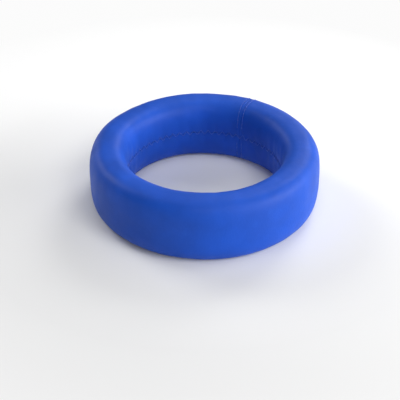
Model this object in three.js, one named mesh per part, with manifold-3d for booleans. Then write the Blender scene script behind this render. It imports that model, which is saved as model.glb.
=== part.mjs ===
// A soft juggling ring: a stiff plastic hoop, bedded in two foam rings, inside a smooth sewn cover.
// Millimetres. The ring's axis is Z, and the origin is the centre of the face that it rests on.

import * as THREE from 'three';
import { mergeVertices } from 'three/addons/utils/BufferGeometryUtils.js';
import Module from 'manifold-3d';

const wasm = await Module();
wasm.setup();

// Driving dimensions of the ring
const OUTER_DIAMETER = 240;
const WALL = 39; // from the hole to the outside
const HEIGHT = 67.5; // along the axis
const CROWN = 0.45; // how much the rounded top and the rounded base are flattened
const WALL_POWER = 2.9; // roundness across the wall: 2 is an ellipse, more is squarer
const HEIGHT_POWER = 3.6; // the same along the axis

// Layers, from the outside in
const COVER = 1.2;
const GAP = 0.3; // between pieces that lie against each other
const SLIT = 0.8; // between the cover's two sewn edges, half-way up the hole's wall

// The closing seam
const TAPE_WIDTH = 14;
const TAPE = 0.8;
const THREAD_RADIUS = 0.4;
const STITCH_REACH = 3; // of the thread above and below the slit
const STITCHES = 64;

// The hoop and its joint
const HOOP_RADIUS = 8;
const HOOP_BORE_RADIUS = 6;
const BED_CLEARANCE = 0.5; // between the hoop and the groove in the foam
const PLUG_RADIUS = 5.4;
const PLUG_LENGTH = 60;
const COLLAR_LENGTH = 4.4; // of the plug's collar, which parts the hoop's two ends
const PIN_RADIUS = 1.5;
const PIN_LENGTH = 15.4;
const PIN_FROM_JOINT = 16;
const JOINT_ANGLE = Math.PI / 2; // the hoop's joint is at the ring's back, on +Y

// Fineness of the faceted shapes
const TURN_SEGMENTS = 48;
const OUTSIDE_STEPS = 5; // in a quarter of the section
const INSIDE_STEPS = 4;
const BED_STEPS = 6; // in half of the hoop's groove
const ROUND_SIDES = 12; // of the hoop, the plug and the pins
const THREAD_SIDES = 5;

// Sizes that follow
const MID_RADIUS = (OUTER_DIAMETER - WALL) / 2;
const MID_HEIGHT = HEIGHT / 2;
const HALF_WALL = WALL / 2;
const HOLE_RADIUS = MID_RADIUS - HALF_WALL;
const FULL_HALF_HEIGHT = HEIGHT / 2 + CROWN;
const FOAM_INSET = COVER + GAP;
const FLAT_ANGLE = Math.asin((HEIGHT / 2 / FULL_HALF_HEIGHT) ** (HEIGHT_POWER / 2));
const FACET_SAG = HOLE_RADIUS * (1 - Math.cos(Math.PI / TURN_SEGMENTS));

const signedPower = (value, power) => Math.sign(value) * Math.abs(value) ** power;

// A point of the ring's rounded section, from the middle of the wall: x outwards, y up.
// The angle is 0 at the outer wall, a quarter turn at the top and a half turn at the hole's wall.
function sectionPoint(angle, inset) {
  const x = HALF_WALL * signedPower(Math.cos(angle), 2 / WALL_POWER);
  const y = FULL_HALF_HEIGHT * signedPower(Math.sin(angle), 2 / HEIGHT_POWER);
  const normal = new THREE.Vector2(
    signedPower(x / HALF_WALL, WALL_POWER - 1) * WALL_POWER / HALF_WALL,
    signedPower(y / FULL_HALF_HEIGHT, HEIGHT_POWER - 1) * HEIGHT_POWER / FULL_HALF_HEIGHT,
  ).normalize();
  const limit = HEIGHT / 2 - inset;
  return new THREE.Vector2(
    x - normal.x * inset,
    THREE.MathUtils.clamp(y - normal.y * inset, -limit, limit),
  );
}

// The points of a quarter of the section, from one angle to another.
function quarter(from, to, steps, inset) {
  return Array.from({ length: steps + 1 }, (_, i) =>
    sectionPoint(THREE.MathUtils.lerp(from, to, i / steps), inset));
}

// The upper half of the section, from the outer wall over the top to the hole's wall.
function upperHalf(steps, inset) {
  return [
    ...quarter(0, FLAT_ANGLE, steps, inset),
    ...quarter(Math.PI - FLAT_ANGLE, Math.PI, steps, inset),
  ];
}

const mirrored = (points) => points.map((p) => new THREE.Vector2(p.x, -p.y)).reverse();

// The whole section from the slit's lower edge round to its upper edge.
function openOutline(steps, inset) {
  const upper = upperHalf(steps, inset);
  upper.at(-1).y = SLIT / 2;
  return [...mirrored(upper), ...upper.slice(1)];
}

// Revolves a closed outline, given round the middle of the wall, about the ring's axis.
function revolve(outline) {
  const profile = [...outline, outline[0]].map((p) =>
    new THREE.Vector2(MID_RADIUS + p.x, MID_HEIGHT + p.y));
  return new THREE.LatheGeometry(profile, TURN_SEGMENTS).rotateX(Math.PI / 2);
}

// A path round the ring's axis, in equal steps of angle, which may weave up and down on the way.
// Every cross-section on it stands upright and faces along the circle.
class RoundPath extends THREE.Curve {
  constructor(radius, from, to, weave = () => 0) {
    super();
    Object.assign(this, { radius, from, to, weave });
  }

  angleAt(t) {
    return THREE.MathUtils.lerp(this.from, this.to, t);
  }

  getPointAt(t, target = new THREE.Vector3()) {
    const angle = this.angleAt(t);
    const height = MID_HEIGHT + this.weave(t);
    return target.set(this.radius * Math.cos(angle), this.radius * Math.sin(angle), height);
  }

  getTangentAt(t, target = new THREE.Vector3()) {
    const angle = this.angleAt(t);
    return target.set(-Math.sin(angle), Math.cos(angle), 0);
  }
}

function circlePoints(radius, sides) {
  return Array.from({ length: sides }, (_, i) => {
    const angle = 2 * Math.PI * i / sides;
    return new THREE.Vector2(radius * Math.cos(angle), radius * Math.sin(angle));
  });
}

// A round bar along a path, or a tube if it has a bore.
function sweep(path, steps, radius, sides, boreRadius = 0) {
  const shape = new THREE.Shape(circlePoints(radius, sides));
  if (boreRadius > 0) {
    shape.holes.push(new THREE.Path(circlePoints(boreRadius, sides)));
  }
  return new THREE.ExtrudeGeometry(shape, { steps, extrudePath: path, bevelEnabled: false });
}

function solidOf(geometry) {
  const bare = geometry.clone();
  bare.deleteAttribute('normal');
  bare.deleteAttribute('uv');
  const merged = mergeVertices(bare);
  return new wasm.Manifold(new wasm.Mesh({
    numProp: 3,
    vertProperties: new Float32Array(merged.attributes.position.array),
    triVerts: new Uint32Array(merged.index.array),
  }));
}

function geometryOf(solid) {
  const mesh = solid.getMesh();
  const geometry = new THREE.BufferGeometry();
  geometry.setAttribute('position', new THREE.BufferAttribute(mesh.vertProperties, 3));
  geometry.setIndex(new THREE.BufferAttribute(mesh.triVerts, 1));
  geometry.computeVertexNormals();
  return geometry;
}

// An upright round bar through the hoop, on one side of its joint.
function uprightBar(radius, length, side) {
  const angle = JOINT_ANGLE + side * PIN_FROM_JOINT / MID_RADIUS;
  return new THREE.CylinderGeometry(radius, radius, length, ROUND_SIDES)
    .rotateX(Math.PI / 2)
    .translate(MID_RADIUS * Math.cos(angle), MID_RADIUS * Math.sin(angle), MID_HEIGHT);
}

function drilledForPins(geometry) {
  let solid = solidOf(geometry);
  for (const side of [-1, 1]) {
    solid = solid.subtract(solidOf(uprightBar(PIN_RADIUS + GAP, 3 * HOOP_RADIUS, side)));
  }
  return geometryOf(solid);
}

// The cover is one strip of coated cloth, wrapped round the section. It is open at the slit.
function coverSleeve() {
  const outside = openOutline(OUTSIDE_STEPS, 0);
  const inside = openOutline(INSIDE_STEPS, COVER).reverse();
  return revolve([...outside, ...inside]);
}

// A foam ring that fills the upper half: a groove beds the hoop, a shallow recess holds the tape.
function foamOutline() {
  const wallPart = upperHalf(INSIDE_STEPS, FOAM_INSET);
  wallPart[0].y = GAP / 2;
  wallPart.pop();
  const recessTop = TAPE_WIDTH / 2 + GAP;
  const recessWall = FOAM_INSET + TAPE + GAP - HALF_WALL;
  const recess = [
    new THREE.Vector2(FOAM_INSET - HALF_WALL, recessTop),
    new THREE.Vector2(recessWall, recessTop),
    new THREE.Vector2(recessWall, GAP / 2),
  ];
  const bedRadius = HOOP_RADIUS + BED_CLEARANCE;
  const start = Math.asin(GAP / 2 / bedRadius);
  const bed = Array.from({ length: BED_STEPS + 1 }, (_, i) => {
    const angle = THREE.MathUtils.lerp(Math.PI - start, start, i / BED_STEPS);
    return new THREE.Vector2(bedRadius * Math.cos(angle), bedRadius * Math.sin(angle));
  });
  return [...wallPart, ...recess, ...bed];
}

// A flat tape that backs the cover's sewn edges.
function seamTape() {
  const near = FOAM_INSET - HALF_WALL;
  const far = near + TAPE;
  const reach = TAPE_WIDTH / 2;
  return revolve([
    new THREE.Vector2(near, reach),
    new THREE.Vector2(near, -reach),
    new THREE.Vector2(far, -reach),
    new THREE.Vector2(far, reach),
  ]);
}

// The thread goes to and fro across the slit, with its two ends side by side at the back.
function seamThread() {
  const radius = HOLE_RADIUS - FACET_SAG - GAP - THREAD_RADIUS;
  const endGap = 2 / radius;
  const weave = (t) => STITCH_REACH * Math.cos(2 * Math.PI * STITCHES * t);
  const path = new RoundPath(
    radius,
    JOINT_ANGLE + endGap / 2,
    JOINT_ANGLE + 2 * Math.PI - endGap / 2,
    weave,
  );
  return sweep(path, 2 * STITCHES, THREAD_RADIUS, THREAD_SIDES);
}

// The hoop is a plastic tube bent round, whose ends stop at the plug's collar.
function hoopTube() {
  const endAngle = (COLLAR_LENGTH / 2 + GAP) / MID_RADIUS;
  const path = new RoundPath(
    MID_RADIUS,
    JOINT_ANGLE + endAngle,
    JOINT_ANGLE + 2 * Math.PI - endAngle,
  );
  return drilledForPins(
    sweep(path, TURN_SEGMENTS, HOOP_RADIUS, ROUND_SIDES, HOOP_BORE_RADIUS));
}

// The plug goes into both ends of the hoop, up to its collar.
function hoopPlug() {
  const arc = (length) => new RoundPath(
    MID_RADIUS,
    JOINT_ANGLE - length / 2 / MID_RADIUS,
    JOINT_ANGLE + length / 2 / MID_RADIUS,
  );
  const bar = solidOf(sweep(arc(PLUG_LENGTH), 6, PLUG_RADIUS, ROUND_SIDES));
  const collar = solidOf(sweep(arc(COLLAR_LENGTH), 1, HOOP_RADIUS, ROUND_SIDES));
  return drilledForPins(geometryOf(bar.add(collar)));
}

const coverCloth = new THREE.MeshStandardMaterial({ color: 0x2a57d8, roughness: 0.5 });
const threadYarn = new THREE.MeshStandardMaterial({ color: 0x1d44b4, roughness: 0.7 });
const tapeCloth = new THREE.MeshStandardMaterial({ color: 0xe8e6de, roughness: 0.9 });
const foam = new THREE.MeshStandardMaterial({ color: 0xf1efe8, roughness: 0.95 });
const hoopPlastic = new THREE.MeshStandardMaterial({ color: 0x2b2d30, roughness: 0.45 });
const plugPlastic = new THREE.MeshStandardMaterial({ color: 0xd9d6cb, roughness: 0.5 });
const pinMetal = new THREE.MeshStandardMaterial({
  color: 0xb9bcc0,
  roughness: 0.35,
  metalness: 1,
});

const ring = new THREE.Group();

function addPiece(name, geometry, material) {
  const piece = new THREE.Mesh(geometry, material);
  piece.name = name;
  ring.add(piece);
}

addPiece('cover_sleeve', coverSleeve(), coverCloth);
addPiece('seam_thread', seamThread(), threadYarn);
addPiece('seam_tape', seamTape(), tapeCloth);
addPiece('foam_upper', revolve(foamOutline()), foam);
addPiece('foam_lower', revolve(mirrored(foamOutline())), foam);
addPiece('hoop_tube', hoopTube(), hoopPlastic);
addPiece('hoop_plug', hoopPlug(), plugPlastic);
for (const [index, side] of [-1, 1].entries()) {
  addPiece(`hoop_pin_${index + 1}`, uprightBar(PIN_RADIUS, PIN_LENGTH, side), pinMetal);
}

export default ring;
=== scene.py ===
"""A soft juggling ring lying on a pale floor, in metres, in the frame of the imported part.

The ring is a solid of revolution about Z. A point of its skin is given by phi, the angle round Z,
and by along, the distance along the section's outline. That outline starts at the slit half-way up
the hole's wall, runs under the ring, up the outer wall and over the top, and ends at the slit.
"""

import math

import bpy
import numpy as np
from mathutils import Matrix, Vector


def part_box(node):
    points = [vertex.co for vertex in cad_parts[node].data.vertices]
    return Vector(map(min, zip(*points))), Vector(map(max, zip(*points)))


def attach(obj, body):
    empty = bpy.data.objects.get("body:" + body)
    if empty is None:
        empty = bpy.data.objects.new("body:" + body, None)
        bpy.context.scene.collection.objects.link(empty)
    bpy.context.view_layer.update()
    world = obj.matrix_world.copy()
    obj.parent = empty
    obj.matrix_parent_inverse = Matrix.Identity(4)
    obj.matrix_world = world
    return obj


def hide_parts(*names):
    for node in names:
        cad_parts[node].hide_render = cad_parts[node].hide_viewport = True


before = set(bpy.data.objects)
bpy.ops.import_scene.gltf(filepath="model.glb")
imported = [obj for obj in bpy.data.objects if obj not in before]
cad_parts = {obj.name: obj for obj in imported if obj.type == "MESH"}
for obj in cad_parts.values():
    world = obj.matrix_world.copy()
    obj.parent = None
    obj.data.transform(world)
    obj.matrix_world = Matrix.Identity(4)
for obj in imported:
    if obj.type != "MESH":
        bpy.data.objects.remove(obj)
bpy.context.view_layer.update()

MM = 0.001

# ---- The ring's sizes, from the frame ----

cover_points = np.array([v.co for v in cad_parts["cover_sleeve"].data.vertices])
OUTER_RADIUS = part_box("cover_sleeve")[1].x
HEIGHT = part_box("cover_sleeve")[1].z
HOLE_RADIUS = float(np.hypot(cover_points[:, 0], cover_points[:, 1]).min())
MID_RADIUS = (OUTER_RADIUS + HOLE_RADIUS) / 2
HALF_WALL = (OUTER_RADIUS - HOLE_RADIUS) / 2
STITCHES = 64

# ---- The section's roundness, as in the part ----

WALL_POWER = 2.9
HEIGHT_POWER = 3.6
CROWN = 0.45 * MM

# ---- The cover's relief ----

COVER = 1.25 * MM
DEEPEST = 1.1 * MM  # the skin never dips further than this, so that it stays a shell
BASE_SOFTNESS = 0.3 * MM
UNEVENNESS = 0.24 * MM  # of the slow waves that the cloth starts with, before it settles
RUFFLE = 0.06 * MM  # of its small waves
LIP = 0.8 * MM  # radius of the cloth's turned-in edges
VALLEY = 0.35 * MM
VALLEY_REACH = 7 * MM
PUCKER = 0.3 * MM
PUCKER_REACH = 5 * MM
CROSS_SEAM_ANGLE = math.radians(62)
CROSS_LIP = 0.75 * MM
CROSS_VALLEY = 0.25 * MM
CROSS_VALLEY_REACH = 4 * MM
TOPSTITCH_AT = 3.2 * MM  # from the cross seam, on both sides
TOPSTITCH_PITCH = 4.2 * MM
TOPSTITCH_DENT = 0.3 * MM
TOPSTITCH_WIDTH = 0.6 * MM  # of the dent that the row lies in
TOPSTITCH_FROM_SLIT = 7 * MM  # where each row starts and ends

# ---- The settling of the cover's cloth ----

CLOTH_COLUMNS = 256
CLOTH_ROWS = 96
CLOTH_SLACK = 0.025  # how much longer the cloth is than the closing seam that gathers it
CLOTH_PRESSURE = 8
CLOTH_STIFFNESS = 15
CLOTH_SHEAR = 0.6  # of the stiffness along the threads
CLOTH_BENDING = 5
CLOTH_MASS = 0.1
CLOTH_DAMPING = 4
CLOTH_QUALITY = 5  # steps in each frame
CLOTH_FRAMES = 20
MOST_LIFT = 0.8 * MM  # that the settled cloth may stand out from its mean section, or dip

# ---- Threads ----

STITCH_REACH = 2.9 * MM
PLY_RADIUS = 0.21 * MM
PLY_PITCH = 1.7 * MM
SIDEWAYS = (0.31, 0.17, 0.94)  # no thread runs along this
THREAD_FLOOR_GAP = 0.05 * MM

# ---- What lies inside the cover ----

tape_box, hoop_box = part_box("seam_tape"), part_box("hoop_tube")
TAPE_RADIUS = tape_box[1].x  # of its outer face
TAPE_THICKNESS = 0.8 * MM
HOOP_RADIUS = (hoop_box[1].z - hoop_box[0].z) / 2
HOOP_WALL = 2 * MM
FOAM_INSET = 1.75 * MM  # from the outside of the cover
FOAM_CLEARANCE = 0.3 * MM
BED_CLEARANCE = 0.5 * MM
PLUG_RADIUS = 5.4 * MM
PLUG_LENGTH = 60 * MM
COLLAR_LENGTH = 4.4 * MM
END_GAP = 0.3 * MM  # between the collar and each end of the hoop
PIN_CLEARANCE = 0.1 * MM
CHAMFER = 0.5 * MM
FOAM_ROUNDING = 0.6 * MM
FOAM_EDGE = 2 * MM  # left between the foam's curved skin and its corners
TAPE_ROUNDING = 0.3 * MM

# ---- Fineness of the cover's mesh ----

COLUMNS = 380
ROWS = 168
LINING_ROWS = 22

# ---- Fineness of the pieces inside ----

TURN_COLUMNS = 200
ROUND_SIDES = 36
FOAM_SKIN_POINTS = 40
GROOVE_POINTS = 18
SHARP = math.radians(35)


# ---------------------------------------------------------------------------
# The section
# ---------------------------------------------------------------------------

def section_table(count=6000):
    """The outline as arrays: distance along it, x out from the wall's middle, z up, and the normal."""
    a, b = HALF_WALL, HEIGHT / 2 + CROWN
    turn = np.linspace(-math.pi, math.pi, count)
    dx, dz = np.abs(np.cos(turn)) / a, np.abs(np.sin(turn)) / b
    reach = 1 / np.maximum(dx, dz)
    for _ in range(40):
        wall, height = (reach * dx) ** WALL_POWER, (reach * dz) ** HEIGHT_POWER
        reach -= reach * (wall + height - 1) / (WALL_POWER * wall + HEIGHT_POWER * height)
    x, z = reach * np.cos(turn), reach * np.sin(turn)
    nx = np.sign(x) * WALL_POWER / a * np.abs(x / a) ** (WALL_POWER - 1)
    nz = np.sign(z) * HEIGHT_POWER / b * np.abs(z / b) ** (HEIGHT_POWER - 1)
    size = np.hypot(nx, nz)
    steps = np.hypot(np.diff(x), np.diff(z))
    return np.concatenate([[0], np.cumsum(steps)]), x, z, nx / size, nz / size


ARC, ARC_X, ARC_Z, ARC_NX, ARC_NZ = section_table()
OUTLINE = float(ARC[-1])


def base_softened(height):
    """Heights, pressed flat where they would go below the floor."""
    return (height + np.sqrt(height ** 2 + BASE_SOFTNESS ** 2)) / 2


def skin(phi, along, offset):
    """Points at offset outwards from the section's outline."""
    nx, nz = np.interp(along, ARC, ARC_NX), np.interp(along, ARC, ARC_NZ)
    radius = MID_RADIUS + np.interp(along, ARC, ARC_X) + nx * offset
    height = base_softened(HEIGHT / 2 + np.interp(along, ARC, ARC_Z) + nz * offset)
    return np.stack(
        np.broadcast_arrays(radius * np.cos(phi), radius * np.sin(phi), height), axis=-1)


# ---------------------------------------------------------------------------
# The relief: how far the cover stands out from the plain outline
# ---------------------------------------------------------------------------

def waves(seed, around, across, falloff):
    """Waves round the ring and across its section: (around, across, phase, height), with rms 1."""
    rng = np.random.default_rng(seed)
    found = []
    for m in around:
        for n in across:
            height = rng.normal() / (1 + falloff * (m - around[0]) ** 2 + 0.5 * n * n)
            found.append((m, n, rng.uniform(0, 2 * math.pi), height))
    rms = math.sqrt(sum(w[3] ** 2 for w in found) / 2)
    return [(m, n, phase, height / rms) for m, n, phase, height in found]


SLOW_WAVES = waves(11, range(2, 17), range(-3, 4), 0.06)
QUICK_WAVES = waves(23, range(19, 58), range(-1, 2), 0.0)


def sum_of(found, phi, along):
    return sum(
        height * np.cos(m * phi + n * 2 * math.pi * along / OUTLINE + phase)
        for m, n, phase, height in found
    )


def turned_edge(distance, radius):
    """How deep a cloth edge of that radius has turned in, at a distance from the seam's line."""
    rise = np.clip(radius - distance, 0, radius)
    return radius - np.sqrt(radius ** 2 - rise ** 2)


def from_cross_seam(phi):
    """The signed distance from the cross seam, measured at the middle of the wall."""
    return ((phi - CROSS_SEAM_ANGLE + math.pi) % (2 * math.pi) - math.pi) * MID_RADIUS


def closing_seam(phi, along):
    """The shallow valley along the slit, and the puckers at the stitches' holes."""
    near = np.minimum(along, OUTLINE - along)
    below = along < OUTLINE / 2
    at_holes = np.cos(STITCHES * phi + np.where(below, 0, math.pi))
    puckers = PUCKER * np.exp(-near / PUCKER_REACH) * (1 + at_holes) / 2
    valley = VALLEY * np.exp(-(near / VALLEY_REACH) ** 2)
    return -puckers - valley


def cross_seam(phi, along):
    """The line where the strip's ends meet: turned edges, a valley, and two dented stitch rows."""
    across = np.abs(from_cross_seam(phi))
    valley = CROSS_VALLEY * np.exp(-(across / CROSS_VALLEY_REACH) ** 2)
    stitch_line = np.exp(-((across - TOPSTITCH_AT) / TOPSTITCH_WIDTH) ** 2)
    beat = 0.7 + 0.3 * np.cos(2 * math.pi * along / TOPSTITCH_PITCH)
    return -turned_edge(across, CROSS_LIP) - valley - TOPSTITCH_DENT * stitch_line * beat


def relief(phi, along):
    """The cover's relief without the closing seam's turned-in edges."""
    made = cloth_lift(phi, along) + closing_seam(phi, along) + cross_seam(phi, along)
    return np.maximum(made, -DEEPEST)


def cover_relief(phi, along):
    """The whole relief, with the edges turned in at the slit."""
    near = np.minimum(along, OUTLINE - along)
    return np.maximum(relief(phi, along) - turned_edge(near, LIP), -DEEPEST)


# ---------------------------------------------------------------------------
# Mesh making
# ---------------------------------------------------------------------------

def mesh_object(name, points, faces, material):
    mesh = bpy.data.meshes.new(name)
    mesh.from_pydata(points.tolist(), [], faces)
    mesh.polygons.foreach_set("use_smooth", [True] * len(mesh.polygons))
    mesh.materials.append(material)
    made = bpy.data.objects.new(name, mesh)
    bpy.context.scene.collection.objects.link(made)
    return made


def ring_faces(rows, columns, closed=True):
    """Quads of a grid round the ring, its points ordered row by row. Closed, the rows meet too."""
    faces = []
    for i in range(rows if closed else rows - 1):
        for j in range(columns):
            k, m = (i + 1) % rows, (j + 1) % columns
            faces.append((i * columns + j, i * columns + m, k * columns + m, k * columns + j))
    return faces


# ---------------------------------------------------------------------------
# The cover's cloth, simulated
# ---------------------------------------------------------------------------

def blown_up(points):
    """Where a strip of cloth settles under pressure, with its two long edges held.

    The cloth is longer than the edges that hold it, and touches nothing else.
    """
    rows, columns = points.shape[:2]
    faces = ring_faces(rows, columns, closed=False)
    strip = mesh_object("cloth_strip", points.reshape(-1, 3), faces, None)
    edges = [*range(columns), *range((rows - 1) * columns, rows * columns)]
    strip.vertex_groups.new(name="sewn").add(edges, 1.0, "REPLACE")
    modifier = strip.modifiers.new("cloth", "CLOTH")
    modifier.collision_settings.use_collision = False
    modifier.point_cache.frame_end = CLOTH_FRAMES
    cloth_settings = modifier.settings
    cloth_settings.quality = CLOTH_QUALITY
    cloth_settings.mass = CLOTH_MASS
    cloth_settings.air_damping = CLOTH_DAMPING
    cloth_settings.tension_stiffness = CLOTH_STIFFNESS
    cloth_settings.compression_stiffness = CLOTH_STIFFNESS
    cloth_settings.shear_stiffness = CLOTH_SHEAR * CLOTH_STIFFNESS
    cloth_settings.bending_stiffness = CLOTH_BENDING
    cloth_settings.use_pressure = True
    cloth_settings.uniform_pressure_force = CLOTH_PRESSURE
    cloth_settings.vertex_group_mass = "sewn"
    cloth_settings.shrink_min = cloth_settings.shrink_max = -CLOTH_SLACK
    cloth_settings.effector_weights.gravity = 0
    for moment in range(1, CLOTH_FRAMES + 1):
        bpy.context.scene.frame_set(moment)
    settled = strip.evaluated_get(bpy.context.evaluated_depsgraph_get()).data
    found = np.array([v.co for v in settled.vertices]).reshape(points.shape)
    bpy.context.scene.frame_set(1)
    bpy.data.objects.remove(strip)
    return found


def smoothed(grid):
    """The grid, each value shared a little with its neighbours round the ring and across it."""
    grid = (np.roll(grid, 1, axis=1) + 2 * grid + np.roll(grid, -1, axis=1)) / 4
    inner = (grid[:-2] + 2 * grid[1:-1] + grid[2:]) / 4
    return np.concatenate([grid[:1], inner, grid[-1:]])


def settled_lift():
    """How far the settled cloth stands out from its own mean section, over a grid of the skin.

    Its mean section is left out, because the outline already says what that is.
    """
    phi = np.linspace(0, 2 * math.pi, CLOTH_COLUMNS, endpoint=False)[None, :]
    along = np.linspace(0, OUTLINE, CLOTH_ROWS)[:, None]
    start = UNEVENNESS * sum_of(SLOW_WAVES, phi, along) + RUFFLE * sum_of(QUICK_WAVES, phi, along)
    plain = skin(phi, along, 0)
    outwards = (skin(phi, along, MM) - plain) / MM
    lift = ((blown_up(skin(phi, along, start)) - plain) * outwards).sum(axis=-1)
    lift = smoothed(smoothed(lift - lift.mean(axis=1, keepdims=True)))
    return np.clip(lift, -MOST_LIFT, MOST_LIFT)


def cubic_shares(t):
    """How much each of four neighbours in a row counts, at t between the middle two."""
    return (
        (-t + 2 * t ** 2 - t ** 3) / 2,
        (2 - 5 * t ** 2 + 3 * t ** 3) / 2,
        (t + 4 * t ** 2 - 3 * t ** 3) / 2,
        (t ** 3 - t ** 2) / 2,
    )


def cloth_lift(phi, along):
    """The settled cloth's lift at any place, read smoothly between the grid's points."""
    column = np.asarray(phi) / (2 * math.pi) * CLOTH_COLUMNS
    row = np.asarray(along) / OUTLINE * (CLOTH_ROWS - 1)
    left = np.floor(column).astype(int)
    below = np.clip(np.floor(row).astype(int), 0, CLOTH_ROWS - 2)
    lift = 0
    for i, share in enumerate(cubic_shares(row - below)):
        at_row = np.clip(below + i - 1, 0, CLOTH_ROWS - 1)
        for j, other in enumerate(cubic_shares(column - left)):
            lift = lift + share * other * LIFT[at_row, (left + j - 1) % CLOTH_COLUMNS]
    return lift


LIFT = settled_lift()


# ---------------------------------------------------------------------------
# The cover and its threads
# ---------------------------------------------------------------------------

def cover_columns():
    """Angles round the ring, closer together at the cross seam, at distances from it in mm."""
    even = np.linspace(0, 2 * math.pi, COLUMNS, endpoint=False)
    close = np.array([0, 0.08, 0.2, 0.36, 0.55, 0.8, 1.2, 1.7, 2.2, 2.6, 2.9, 3.2, 3.5, 3.8, 4.3])
    close = np.concatenate([-close[:0:-1], close]) * MM
    even = even[np.abs(from_cross_seam(even)) > close.max() + 0.8 * MM]
    return np.sort(np.concatenate([even, (CROSS_SEAM_ANGLE + close / MID_RADIUS)]))


def cover_rows():
    """Distances along the outline, closer together at the slit, where the edges turn in."""
    quarter = np.linspace(0, math.pi / 2, 8)
    lip = LIP * (1 - np.cos(quarter))
    next_to_lip = LIP + np.array([0.35, 0.8, 1.3]) * MM
    start = np.concatenate([lip, next_to_lip])
    middle = np.linspace(start[-1], OUTLINE - start[-1], ROWS)[1:-1]
    return np.concatenate([start, middle, OUTLINE - start[::-1]])


def cover_sleeve(material):
    """The cover as a shell: its skin, and its lining, which meets the skin inside the slit."""
    phi = cover_columns()
    rows = cover_rows()
    outside = skin(phi[None, :], rows[:, None], cover_relief(phi[None, :], rows[:, None]))
    lining = np.linspace(OUTLINE, 0, LINING_ROWS)
    inside = skin(phi[None, :], lining[:, None], -COVER)
    points = np.concatenate([outside, inside]).reshape(-1, 3)
    return mesh_object(
        "cover", points, ring_faces(len(rows) + len(lining), len(phi)), material)


def across_run(centres):
    """Two directions square to a run of points, and to each other, at every point."""
    ahead = np.gradient(centres, axis=0)
    ahead /= np.linalg.norm(ahead, axis=1, keepdims=True)
    side = np.cross(ahead, SIDEWAYS)
    side /= np.linalg.norm(side, axis=1, keepdims=True)
    return side, np.cross(ahead, side)


def tube(centres, radius, sides=6):
    """Points and faces of a closed round tube along a run of points."""
    side, other = across_run(centres)
    turn = np.linspace(0, 2 * math.pi, sides, endpoint=False)[None, :, None]
    around = np.cos(turn) * side[:, None, :] + np.sin(turn) * other[:, None, :]
    points = (centres[:, None, :] + radius * around).reshape(-1, 3)
    faces = [tuple(range(sides))[::-1]]
    for i in range(len(centres) - 1):
        for j in range(sides):
            k = (j + 1) % sides
            faces.append((i * sides + j, i * sides + k, (i + 1) * sides + k, (i + 1) * sides + j))
    faces.append(tuple(range((len(centres) - 1) * sides, len(centres) * sides)))
    return points, faces


def twisted(centres, turn_from):
    """The two plies of a thread along a run of points, as centre lines."""
    steps = np.linalg.norm(np.diff(centres, axis=0), axis=1)
    gone = np.concatenate([[0], np.cumsum(steps)])
    side, other = across_run(centres)
    turn = turn_from + 2 * math.pi * gone / PLY_PITCH
    swing = np.cos(turn)[:, None] * side + np.sin(turn)[:, None] * other
    return [centres + PLY_RADIUS * swing, centres - PLY_RADIUS * swing]


def threads_object(name, runs, material):
    """Every run of thread, as two twisted plies, in one mesh."""
    points, faces, count = [], [], 0
    for index, centres in enumerate(runs):
        for ply in twisted(centres, index):
            p, f = tube(ply, PLY_RADIUS)
            points.append(p)
            faces.extend(tuple(i + count for i in face) for face in f)
            count += len(p)
    points = np.concatenate(points)
    points[:, 2] = np.maximum(points[:, 2], THREAD_FLOOR_GAP)
    return mesh_object(name, points, faces, material)


def stitch_lift(share):
    """A stitch's height over the cloth: up out of its hole, level, and down into the next one."""
    level, sunk = 0.34 * MM, -0.75 * MM
    return level + (sunk - level) * np.abs(2 * share - 1) ** 7


def closing_stitches(material):
    """The thread goes to and fro across the slit, from a hole below it to the next one above it."""
    share = np.linspace(0, 1, 17)
    runs = []
    for k in range(2 * STITCHES):
        phi = 2 * math.pi * (k + share) / (2 * STITCHES) + math.pi / STITCHES
        height = STITCH_REACH * (2 * share - 1) * (1 if k % 2 else -1)
        along = np.where(height < 0, -height, OUTLINE - height)
        runs.append(skin(phi, along, relief(phi, along) + stitch_lift(share)))
    return threads_object("seam_stitching", runs, material)


def topstitches(material):
    """A row of short stitches on each side of the cross seam."""
    share = np.linspace(0, 1, 11)
    count = int((OUTLINE - 2 * TOPSTITCH_FROM_SLIT) / TOPSTITCH_PITCH)
    runs = []
    for side in (-1, 1):
        phi = np.full(share.shape, CROSS_SEAM_ANGLE + side * TOPSTITCH_AT / MID_RADIUS)
        for k in range(count):
            along = TOPSTITCH_FROM_SLIT + TOPSTITCH_PITCH * (k + 0.08 + 0.84 * share)
            runs.append(skin(phi, along, relief(phi, along) + stitch_lift(share)))
    return threads_object("cross_seam_stitching", runs, material)


# ---------------------------------------------------------------------------
# The pieces inside the cover
# ---------------------------------------------------------------------------

def rounded(corners, radius, steps=4):
    """A closed outline with each corner replaced by a short curve."""
    t = np.linspace(0, 1, steps)[:, None]
    made = []
    for before, corner, after in zip(
        np.roll(corners, 1, axis=0), corners, np.roll(corners, -1, axis=0)
    ):
        back, on = before - corner, after - corner
        start = corner + back * min(radius / np.linalg.norm(back), 0.5)
        end = corner + on * min(radius / np.linalg.norm(on), 0.5)
        made.append((1 - t) ** 2 * start + 2 * t * (1 - t) * corner + t ** 2 * end)
    return np.concatenate(made)


def turned(name, outline, material):
    """A ring about Z, from a closed outline of radii and heights, listed anticlockwise."""
    phi = np.linspace(0, 2 * math.pi, TURN_COLUMNS, endpoint=False)[None, :]
    radius, height = outline[:, :1], outline[:, 1:]
    points = np.stack(
        np.broadcast_arrays(radius * np.cos(phi), radius * np.sin(phi), height), axis=-1)
    made = mesh_object(
        name, points.reshape(-1, 3), ring_faces(len(outline), TURN_COLUMNS), material)
    made.data.set_sharp_from_angle(angle=SHARP)
    return made


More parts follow.
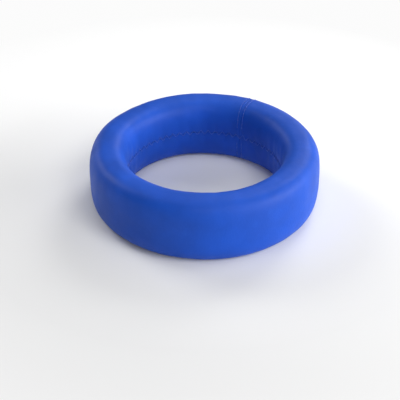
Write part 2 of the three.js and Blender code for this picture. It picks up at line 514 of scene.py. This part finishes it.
def round_piece(name, place, profile, material, closed=False):
    """A round solid along a path. The profile lists distances along it, and radii."""
    turn = np.linspace(0, 2 * math.pi, ROUND_SIDES, endpoint=False)[:, None]
    rows = []
    for distance, radius in profile:
        centre, side, up = place(distance)
        rows.append(centre + radius * (np.cos(turn) * side + np.sin(turn) * up))
    faces = ring_faces(len(rows), ROUND_SIDES, closed)
    if not closed:
        last = (len(rows) - 1) * ROUND_SIDES
        faces.append(tuple(range(ROUND_SIDES))[::-1])
        faces.append(tuple(range(last, last + ROUND_SIDES)))
    made = mesh_object(name, np.concatenate(rows), faces, material)
    made.data.set_sharp_from_angle(angle=SHARP)
    return made


def on_hoop(distance):
    """A place on the hoop's centre line, measured from its joint at the ring's back."""
    angle = math.pi / 2 + distance / MID_RADIUS
    outwards = np.array([math.cos(angle), math.sin(angle), 0])
    up = np.array([0, 0, 1])
    return outwards * MID_RADIUS + up * HEIGHT / 2, up, outwards


def at_pin(node, grown=0.0):
    """The place function of a pin, and its radius and half length."""
    low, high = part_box(node)
    middle = np.array((low + high) / 2)
    radius, half = (high.x - low.x) / 2 + grown, (high.z - low.z) / 2

    def place(distance):
        return middle + np.array([0, 0, distance]), np.array([1, 0, 0]), np.array([0, 1, 0])

    return place, radius, half


def pin(name, node, material):
    place, radius, half = at_pin(node)
    tip = radius - CHAMFER
    ends = [(-half, tip), (-half + CHAMFER, radius), (half - CHAMFER, radius), (half, tip)]
    return round_piece(name, place, ends, material)


def drilled_for_pins(piece):
    """Cuts the two pins' holes through a piece."""
    for node in ("hoop_pin_1", "hoop_pin_2"):
        place, radius, half = at_pin(node, PIN_CLEARANCE)
        drill = round_piece("drill", place, [(-2 * half, radius), (2 * half, radius)], None)
        cut = piece.modifiers.new("hole", "BOOLEAN")
        cut.operation = "DIFFERENCE"
        cut.object = drill
        found = piece.evaluated_get(bpy.context.evaluated_depsgraph_get())
        drilled = bpy.data.meshes.new_from_object(found)
        piece.modifiers.clear()
        piece.data = drilled
        bpy.data.objects.remove(drill)
    piece.data.set_sharp_from_angle(angle=SHARP)
    return piece


def foam_ring(name, side, material):
    """Half of the filling: its skin, the shallow recess for the tape, and the groove for the hoop."""
    split = FOAM_CLEARANCE / 2
    recess_top = tape_box[1].z - HEIGHT / 2 + FOAM_CLEARANCE
    recess_wall = TAPE_RADIUS + FOAM_CLEARANCE
    skin_ends = OUTLINE / 2 + FOAM_EDGE, OUTLINE - recess_top - FOAM_EDGE
    along = np.linspace(*skin_ends, FOAM_SKIN_POINTS)
    inset = skin(0.0, along, -FOAM_INSET)[:, [0, 2]] - (0, HEIGHT / 2)
    bed = HOOP_RADIUS + BED_CLEARANCE
    turn = np.linspace(math.pi, 0, GROOVE_POINTS)[1:-1]
    groove = np.stack([MID_RADIUS + bed * np.cos(turn), bed * np.sin(turn)], axis=1)
    outline = np.array([
        (OUTER_RADIUS - FOAM_INSET, split),
        *inset,
        (HOLE_RADIUS + FOAM_INSET, recess_top),
        (recess_wall, recess_top),
        (recess_wall, split),
        (MID_RADIUS - bed, split),
        *groove,
        (MID_RADIUS + bed, split),
    ])
    outline = rounded(outline, FOAM_ROUNDING, steps=3) * (1, side) + (0, HEIGHT / 2)
    return turned(name, outline[::side], material)


def backing_tape(material):
    low, high = tape_box[0].z, tape_box[1].z
    near, far = TAPE_RADIUS - TAPE_THICKNESS, TAPE_RADIUS
    corners = np.array([(near, low), (far, low), (far, high), (near, high)])
    return turned("backing_tape", rounded(corners, TAPE_ROUNDING), material)


def hoop(material):
    """The tube bent round, from one side of the plug's collar to the other."""
    gap = COLLAR_LENGTH / 2 + END_GAP
    stations = np.linspace(gap, 2 * math.pi * MID_RADIUS - gap, TURN_COLUMNS)
    outside = [(station, HOOP_RADIUS) for station in stations]
    bore = [(station, HOOP_RADIUS - HOOP_WALL) for station in stations[::-1]]
    return drilled_for_pins(round_piece("hoop", on_hoop, outside + bore, material, closed=True))


def joint_plug(material):
    """A bent bar with chamfered ends, and a collar at its middle."""
    half, collar = PLUG_LENGTH / 2, COLLAR_LENGTH / 2
    bar = [(half, PLUG_RADIUS - CHAMFER)]
    bar += [(station, PLUG_RADIUS) for station in np.linspace(half - CHAMFER, collar, 12)]
    bar += [(collar, HOOP_RADIUS - CHAMFER), (collar - CHAMFER, HOOP_RADIUS)]
    profile = [(-station, radius) for station, radius in bar] + bar[::-1]
    return drilled_for_pins(round_piece("joint_plug", on_hoop, profile, material))


# ---------------------------------------------------------------------------
# Materials
# ---------------------------------------------------------------------------

class Nodes:
    """A material's node tree, with short ways to add to it."""

    def __init__(self, name):
        self.material = bpy.data.materials.new(name)
        self.material.use_nodes = True
        self.tree = self.material.node_tree
        self.shader = self.tree.nodes["Principled BSDF"]
        self.place = self.add("ShaderNodeTexCoord").outputs["Object"]

    def add(self, kind, **settings):
        node = self.tree.nodes.new(kind)
        for name, value in settings.items():
            setattr(node, name, value)
        return node

    def link(self, source, target):
        self.tree.links.new(source, target)

    def noise(self, size, detail=3.0, roughness=0.5):
        """Noise with patches of about that size, in metres, from 0 to 1."""
        node = self.add("ShaderNodeTexNoise")
        node.inputs["Scale"].default_value = 1 / size
        node.inputs["Detail"].default_value = detail
        node.inputs["Roughness"].default_value = roughness
        self.link(self.place, node.inputs["Vector"])
        return node.outputs["Fac"]

    def grain(self, size):
        """A cell pattern with cells of about that size."""
        node = self.add("ShaderNodeTexVoronoi")
        node.inputs["Scale"].default_value = 1 / size
        self.link(self.place, node.inputs["Vector"])
        return node.outputs["Distance"]

    def spread(self, source, low, high, to_low=0.0, to_high=1.0):
        """The source's range from low to high, stretched to another range."""
        node = self.add("ShaderNodeMapRange")
        for name, value in zip(
            ("From Min", "From Max", "To Min", "To Max"), (low, high, to_low, to_high)
        ):
            node.inputs[name].default_value = value
        self.link(source, node.inputs["Value"])
        return node.outputs["Result"]

    def math(self, operation, first, second):
        node = self.add("ShaderNodeMath", operation=operation)
        for socket, value in zip(node.inputs, (first, second)):
            if isinstance(value, (int, float)):
                socket.default_value = value
            else:
                self.link(value, socket)
        return node.outputs["Value"]

    def mix(self, factor, first, second):
        """A colour between two colours."""
        node = self.add("ShaderNodeMix", data_type="RGBA")
        self.link(factor, node.inputs["Factor"])
        for socket, value in ((node.inputs[6], first), (node.inputs[7], second)):
            if isinstance(value, tuple):
                socket.default_value = (*value, 1)
            else:
                self.link(value, socket)
        return node.outputs[2]

    def bump(self, height, depth, before=None):
        """A normal from a height field of that depth, in metres."""
        node = self.add("ShaderNodeBump")
        node.inputs["Strength"].default_value = 1
        node.inputs["Distance"].default_value = depth
        self.link(height, node.inputs["Height"])
        if before:
            self.link(before, node.inputs["Normal"])
        return node.outputs["Normal"]

    def finish(self, colour=None, roughness=None, normal=None, **plain):
        for source, name in ((colour, "Base Color"), (roughness, "Roughness"), (normal, "Normal")):
            if source:
                self.link(source, self.shader.inputs[name])
        for name, value in plain.items():
            self.shader.inputs[name.replace("_", " ")].default_value = value
        return self.material


SHEEN_TINT = (0.35, 0.55, 1.0, 1)


def coated_cloth():
    """Royal blue, satin: a fine pebbled grain, soft mottling, and faint rubbed patches."""
    n = Nodes("cover_cloth")
    deep, clear, rubbed = (0.0035, 0.058, 0.405), (0.005, 0.076, 0.52), (0.012, 0.10, 0.57)
    mottle = n.spread(n.noise(38 * MM, 4), 0.3, 0.7)
    colour = n.mix(mottle, deep, clear)
    rub = n.math("MULTIPLY", n.spread(n.noise(11 * MM, 6, 0.65), 0.58, 0.8), 0.35)
    colour = n.mix(rub, colour, rubbed)
    pebble = n.grain(1.5 * MM)
    fine = n.noise(0.5 * MM, 2)
    slow = n.noise(7 * MM, 3)
    normal = n.bump(slow, 0.12 * MM)
    normal = n.bump(pebble, 0.07 * MM, normal)
    normal = n.bump(fine, 0.03 * MM, normal)
    roughness = n.spread(n.noise(16 * MM, 5), 0.25, 0.75, 0.50, 0.62)
    return n.finish(
        colour, roughness, normal,
        Specular_IOR_Level=0.26, Sheen_Weight=0.08, Sheen_Roughness=0.4, Sheen_Tint=SHEEN_TINT)


def thread_yarn():
    """Twisted polyester, a shade deeper than the cloth."""
    n = Nodes("thread")
    colour = n.mix(n.spread(n.noise(0.8 * MM, 3), 0.3, 0.7), (0.012, 0.06, 0.40), (0.03, 0.13, 0.66))
    normal = n.bump(n.noise(0.25 * MM, 2), 0.05 * MM)
    roughness = n.spread(n.noise(1.5 * MM), 0.3, 0.7, 0.45, 0.65)
    return n.finish(colour, roughness, normal, Sheen_Weight=0.25)


def closed_cell_foam():
    n = Nodes("foam")
    cells = n.grain(1.1 * MM)
    colour = n.mix(n.spread(n.noise(20 * MM), 0.3, 0.7), (0.80, 0.78, 0.71), (0.90, 0.88, 0.83))
    roughness = n.spread(cells, 0.0, 0.8, 0.95, 0.8)
    return n.finish(colour, roughness, n.bump(cells, 0.4 * MM))


def cotton_tape():
    """Off-white tape with a plain weave."""
    n = Nodes("tape_cloth")
    weave = n.math("MULTIPLY", n.grain(0.6 * MM), n.noise(0.9 * MM))
    colour = n.mix(n.spread(n.noise(5 * MM), 0.3, 0.7), (0.70, 0.68, 0.60), (0.84, 0.82, 0.76))
    roughness = n.spread(weave, 0.0, 0.5, 0.9, 0.75)
    return n.finish(colour, roughness, n.bump(weave, 0.15 * MM), Sheen_Weight=0.3)


def extruded_plastic():
    """Black tube, with the faint lines of its die."""
    n = Nodes("hoop_plastic")
    colour = n.mix(n.spread(n.noise(12 * MM), 0.3, 0.7), (0.018, 0.019, 0.021), (0.04, 0.042, 0.046))
    roughness = n.spread(n.noise(3 * MM, 5), 0.3, 0.7, 0.32, 0.5)
    return n.finish(colour, roughness, n.bump(n.noise(1.2 * MM, 4), 0.04 * MM))


def moulded_nylon():
    n = Nodes("plug_plastic")
    colour = n.mix(n.spread(n.noise(9 * MM), 0.3, 0.7), (0.60, 0.57, 0.48), (0.72, 0.70, 0.62))
    roughness = n.spread(n.noise(2 * MM, 4), 0.3, 0.7, 0.38, 0.55)
    return n.finish(
        colour, roughness, n.bump(n.noise(0.7 * MM, 2), 0.03 * MM), Subsurface_Weight=0.1)


def turned_aluminium():
    n = Nodes("pin_metal")
    colour = n.mix(n.spread(n.noise(2 * MM), 0.3, 0.7), (0.5, 0.51, 0.53), (0.66, 0.67, 0.69))
    roughness = n.spread(n.noise(0.6 * MM, 5), 0.3, 0.7, 0.25, 0.45)
    return n.finish(colour, roughness, n.bump(n.noise(0.3 * MM), 0.02 * MM), Metallic=1.0)


def pale_paper():
    """The floor: barely grained paper, with painted light and shade: light grey in front of the ring
    and white behind it, as if the back were lit more strongly.

    Away from the ring it fades into the backdrop's own brightness, so no edge or horizon shows.
    """
    n = Nodes("floor_paper")
    axes = n.add("ShaderNodeSeparateXYZ")
    n.link(n.place, axes.inputs["Vector"])
    # painted light and shade: grey in front and near white behind, standing in for the lamps' light
    # falling off towards the front
    front, behind = (0.70, 0.70, 0.70), (0.97, 0.97, 0.97)
    colour = n.mix(n.spread(axes.outputs["Y"], -0.32, 0.26), front, behind)
    roughness = n.spread(n.noise(3 * MM), 0.3, 0.7, 0.75, 0.9)
    n.finish(colour, roughness, n.bump(n.noise(1.5 * MM), 0.02 * MM))
    away = n.add("ShaderNodeVectorMath", operation="LENGTH")
    n.link(n.place, away.inputs["Vector"])
    glow = n.add("ShaderNodeEmission")
    glow.inputs["Strength"].default_value = BACKDROP
    faded = n.add("ShaderNodeMixShader")
    n.link(n.spread(away.outputs["Value"], FADE_FROM, FADE_TO), faded.inputs["Fac"])
    n.link(n.shader.outputs["BSDF"], faded.inputs[1])
    n.link(glow.outputs["Emission"], faded.inputs[2])
    n.link(faded.outputs["Shader"], n.tree.nodes["Material Output"].inputs["Surface"])
    return n.material


# ---------------------------------------------------------------------------
# The ring's pieces
# ---------------------------------------------------------------------------

cloth = coated_cloth()
yarn = thread_yarn()

cover = cover_sleeve(cloth)
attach(cover, "root")
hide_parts("cover_sleeve")

seam_stitching = closing_stitches(yarn)
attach(seam_stitching, "root")
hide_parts("seam_thread")

cross_seam_stitching = topstitches(yarn)
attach(cross_seam_stitching, "root")

foam = closed_cell_foam()
metal = turned_aluminium()
INSIDE = [  # each piece, the node that it stands for, and its material slot
    (foam_ring("upper_foam", 1, foam), "foam_upper", "foam"),
    (foam_ring("lower_foam", -1, foam), "foam_lower", "foam"),
    (backing_tape(cotton_tape()), "seam_tape", "tape_cloth"),
    (hoop(extruded_plastic()), "hoop_tube", "hoop_plastic"),
    (joint_plug(moulded_nylon()), "hoop_plug", "plug_plastic"),
    (pin("joint_pin_1", "hoop_pin_1", metal), "hoop_pin_1", "pin_metal"),
    (pin("joint_pin_2", "hoop_pin_2", metal), "hoop_pin_2", "pin_metal"),
]
for piece, node, slot in INSIDE:
    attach(piece, "root")
    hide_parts(node)


# ---------------------------------------------------------------------------
# Floor, lights and camera
# ---------------------------------------------------------------------------

LAMP_SIZE = 0.9  # the height of every lamp, and the width of all but the low ones
LAMP_DISTANCE = 2.2
WIDE_LAMP = 1.5  # a low lamp is wider, so that its glancing reflection stays faint
LAMPS = [  # name, azimuth, elevation, power, width
    ("low_front_right", -28, 14, 33, WIDE_LAMP),
    ("low_right", 10, 14, 25, WIDE_LAMP),
    ("back_right", 62, 35, 19, LAMP_SIZE),
    ("back_left", 143, 32, 19, LAMP_SIZE),
    ("front", -90, 34, 10, LAMP_SIZE),
    ("front_right", -48, 52, 13, LAMP_SIZE),
    ("top", 0, 88, 7, LAMP_SIZE),
]
ROOM_LIGHT = 0.02  # from all around
BACKDROP = 0.97  # brightness of what lies beyond the floor
FLOOR_HALF = 6.0
FADE_FROM, FADE_TO = 0.25, 0.45  # distances from the axis over which the floor becomes backdrop

CAMERA_ELEVATION = math.radians(32.4)
CAMERA_DISTANCE = 11.2 * OUTER_RADIUS
CAMERA_LENS = 115  # mm, on a sensor 36 mm wide
AIM_BELOW, AIM_LEFT = 0.0298, 0.0046  # of the ring's centre
RING_CENTRE = Vector((0, 0, HEIGHT / 2))


def add_floor():
    half = FLOOR_HALF
    points = np.array([(-half, -half, 0), (half, -half, 0), (half, half, 0), (-half, half, 0)])
    floor = mesh_object("floor", points, [(0, 1, 2, 3)], pale_paper())


def add_lamp(name, azimuth, elevation, power, width):
    """A soft lamp aimed at the ring's centre. Azimuth 0 is +X and 90 is +Y, in degrees."""
    a, e = math.radians(azimuth), math.radians(elevation)
    towards = Vector((math.cos(a) * math.cos(e), math.sin(a) * math.cos(e), math.sin(e)))
    data = bpy.data.lights.new(name, "AREA")
    data.shape = "RECTANGLE"
    data.size = width
    data.size_y = LAMP_SIZE
    data.energy = power
    lamp = bpy.data.objects.new(name, data)
    lamp.location = RING_CENTRE + towards * LAMP_DISTANCE
    lamp.rotation_euler = towards.to_track_quat("Z", "Y").to_euler()
    lamp.visible_camera = False
    bpy.context.scene.collection.objects.link(lamp)


def add_world():
    """A dim room, with a pale backdrop beyond the floor."""
    world = bpy.data.worlds.new("studio")
    world.use_nodes = True
    tree = world.node_tree
    background = tree.nodes["Background"]
    background.inputs["Color"].default_value = (1, 1, 1, 1)
    seen = tree.nodes.new("ShaderNodeLightPath").outputs["Is Camera Ray"]
    strength = tree.nodes.new("ShaderNodeMapRange")
    strength.inputs["To Min"].default_value = ROOM_LIGHT
    strength.inputs["To Max"].default_value = BACKDROP
    tree.links.new(seen, strength.inputs["Value"])
    tree.links.new(strength.outputs["Result"], background.inputs["Strength"])
    bpy.context.scene.world = world


def add_camera():
    """Looks down at the ring from the front, aimed a little below and left of its centre."""
    back = Vector((0, -math.cos(CAMERA_ELEVATION), math.sin(CAMERA_ELEVATION)))
    up = Vector((0, math.sin(CAMERA_ELEVATION), math.cos(CAMERA_ELEVATION)))
    data = bpy.data.cameras.new("camera")
    data.lens = CAMERA_LENS
    data.sensor_width = 36
    data.clip_start = 0.05
    camera = bpy.data.objects.new("camera", data)
    camera.location = RING_CENTRE + back * CAMERA_DISTANCE
    aim = RING_CENTRE - up * AIM_BELOW - Vector((AIM_LEFT, 0, 0))
    camera.rotation_euler = (camera.location - aim).to_track_quat("Z", "Y").to_euler()
    bpy.context.scene.collection.objects.link(camera)
    bpy.context.scene.camera = camera


add_floor()
for lamp in LAMPS:
    add_lamp(*lamp)
add_world()
add_camera()
bpy.context.scene.view_settings.view_transform = "Standard"
